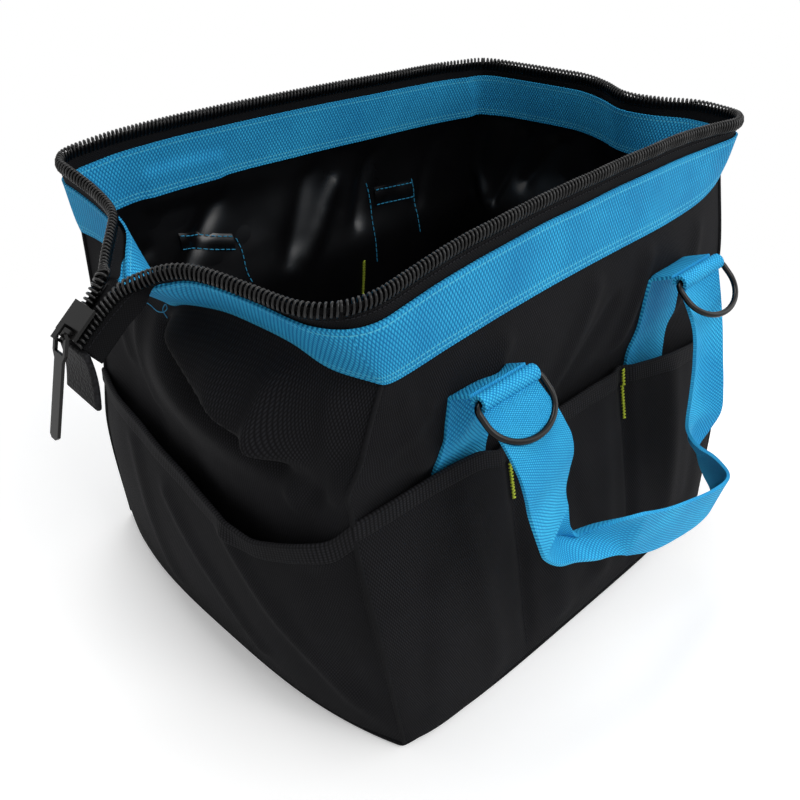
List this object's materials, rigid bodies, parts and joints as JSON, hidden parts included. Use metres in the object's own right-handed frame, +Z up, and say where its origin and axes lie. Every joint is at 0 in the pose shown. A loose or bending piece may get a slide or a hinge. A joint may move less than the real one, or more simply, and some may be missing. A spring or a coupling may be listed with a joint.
{
  "type": "tool bag",
  "caption": "Open-mouth cloth tool bag with a blue mouth band, webbing handles on D-rings, pocket rows round the outside and a zip with a tail at one end.",
  "frame": {"origin": "on the floor, under the middle of the mouth", "axes": "+X along the long walls, away from the zip's tail; -Y is the front; +Z up"},
  "size_m": [0.4128, 0.3796, 0.254],
  "materials": {
    "black_cloth": "matte twill polyester",
    "base_cloth": "matte coated polyester",
    "board": "matte stiffening board",
    "blue_band": "ribbed grosgrain band",
    "blue_webbing": "basket-weave webbing",
    "black_binding": "ribbed binding tape",
    "zip_tape": "woven zip tape",
    "zip_coil": "semi-gloss nylon coil",
    "lime_thread": "dense bartack thread",
    "frame_steel": "drawn steel wire",
    "black_metal": "glossy black coating",
    "end_tab_cloth": "pebbled coated cloth"
  },
  "bodies": {
    "bag_base": {"base_panel": "base_cloth", "base_board": "board", "left_end_wall": "black_cloth", "left_end_pocket": "black_cloth", "left_end_pocket_binding": "black_binding", "left_outer_band": "blue_band", "left_inner_band": "blue_band", "right_end_wall": "black_cloth", "right_end_pocket": "black_cloth", "right_end_pocket_binding": "black_binding", "right_outer_band": "blue_band", "right_inner_band": "blue_band", "left_front_zip_tape": "zip_tape", "left_front_zip_coil": "zip_coil", "left_rear_zip_tape": "zip_tape", "left_rear_zip_coil": "zip_coil", "right_zip_tape": "zip_tape", "right_zip_coil": "zip_coil", "zip_tail_tape": "zip_tape", "zip_end_tab": "end_tab_cloth"},
    "front_wall": {"front_panel": "black_cloth", "front_pocket": "black_cloth", "front_pocket_binding": "black_binding", "front_outer_band": "blue_band", "front_inner_band": "blue_band", "front_frame_wire": "frame_steel", "front_zip_tape": "zip_tape", "front_zip_coil": "zip_coil", "front_left_strap_anchor": "blue_webbing", "front_right_strap_anchor": "blue_webbing", "front_left_bartack": "lime_thread", "front_right_bartack": "lime_thread"},
    "front_handle": {"front_handle": "blue_webbing"},
    "front_left_d_ring": {"front_left_d_ring": "black_metal"},
    "front_right_d_ring": {"front_right_d_ring": "black_metal"},
    "rear_wall": {"rear_panel": "black_cloth", "rear_pocket": "black_cloth", "rear_pocket_binding": "black_binding", "rear_outer_band": "blue_band", "rear_inner_band": "blue_band", "rear_frame_wire": "frame_steel", "rear_zip_tape": "zip_tape", "rear_zip_coil": "zip_coil", "rear_left_strap_anchor": "blue_webbing", "rear_right_strap_anchor": "blue_webbing", "rear_left_bartack": "lime_thread", "rear_right_bartack": "lime_thread"},
    "rear_handle": {"rear_handle": "blue_webbing"},
    "rear_left_d_ring": {"rear_left_d_ring": "black_metal"},
    "rear_right_d_ring": {"rear_right_d_ring": "black_metal"},
    "zip_slider": {"zip_slider": "black_metal"},
    "zip_puller": {"zip_puller": "black_metal"}
  },
  "joints": [
    {"name": "front_wall_lean", "type": "hinge", "parent": "bag_base", "child": "front_wall", "pos_m": [0, -0.109, 0.0033], "axis": [-1, 0, 0], "range_deg": [-5, 22]},
    {"name": "front_handle_lift", "type": "hinge", "parent": "front_wall", "child": "front_handle", "pos_m": [0, -0.12794, 0.1973], "axis": [-1, 0, 0], "range_deg": [0, 142]},
    {"name": "front_left_d_ring_swing", "type": "hinge", "parent": "front_handle", "child": "front_left_d_ring", "pos_m": [-0.08, -0.12794, 0.1973], "axis": [-1, 0, 0], "range_deg": [0, 20]},
    {"name": "front_right_d_ring_swing", "type": "hinge", "parent": "front_handle", "child": "front_right_d_ring", "pos_m": [0.08, -0.12794, 0.1973], "axis": [-1, 0, 0], "range_deg": [0, 20]},
    {"name": "rear_wall_lean", "type": "hinge", "parent": "bag_base", "child": "rear_wall", "pos_m": [0, 0.109, 0.0033], "axis": [1, 0, 0], "range_deg": [-5, 22]},
    {"name": "rear_handle_lift", "type": "hinge", "parent": "rear_wall", "child": "rear_handle", "pos_m": [0, 0.12794, 0.1973], "axis": [1, 0, 0], "range_deg": [0, 142]},
    {"name": "rear_left_d_ring_swing", "type": "hinge", "parent": "rear_handle", "child": "rear_left_d_ring", "pos_m": [-0.08, 0.12794, 0.1973], "axis": [1, 0, 0], "range_deg": [0, 20]},
    {"name": "rear_right_d_ring_swing", "type": "hinge", "parent": "rear_handle", "child": "rear_right_d_ring", "pos_m": [0.08, 0.12794, 0.1973], "axis": [1, 0, 0], "range_deg": [0, 20]},
    {"name": "zip_slider_run", "type": "slide", "parent": "bag_base", "child": "zip_slider", "axis": [0.766, 0, 0.6428], "range_m": [0, 0.02]},
    {"name": "zip_puller_swing", "type": "hinge", "parent": "zip_slider", "child": "zip_puller", "pos_m": [-0.2201, 0, 0.22884], "axis": [0, 1, 0], "range_deg": [0, 190]}
  ],
  "couplings": [
    {"joint": "zip_puller_swing", "follows": "zip_slider_run", "rad_per_m": 165.8}
  ]
}
